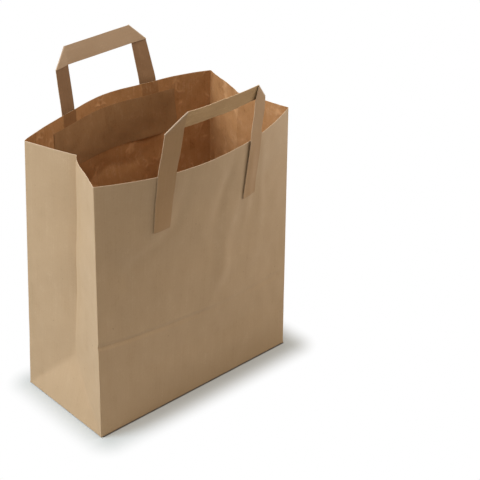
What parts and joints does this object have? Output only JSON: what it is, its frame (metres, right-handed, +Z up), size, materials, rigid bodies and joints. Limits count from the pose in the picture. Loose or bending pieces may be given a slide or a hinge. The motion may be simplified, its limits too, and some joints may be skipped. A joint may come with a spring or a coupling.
{
  "type": "paper carrier bag",
  "caption": "Open block-bottom kraft paper carrier bag with gusseted sides, folded tape handles glued outside and reinforcing patches inside.",
  "frame": {"origin": "under the middle of the base, on the surface the bag stands on", "axes": "+Z up out of the mouth; the long front panel faces -Y and the long back panel +Y; the two gussets face -X and +X"},
  "size_m": [0.2242, 0.1713, 0.3064],
  "materials": {
    "bag_kraft": "matte brown machine-glazed kraft paper",
    "handle_kraft": "matte brown folded kraft tape",
    "patch_kraft": "matte brown kraft paper"
  },
  "bodies": {
    "root": {"bag_body": "bag_kraft", "front_handle": "handle_kraft", "back_handle": "handle_kraft", "front_patch": "patch_kraft", "back_patch": "patch_kraft"}
  },
  "joints": []
}
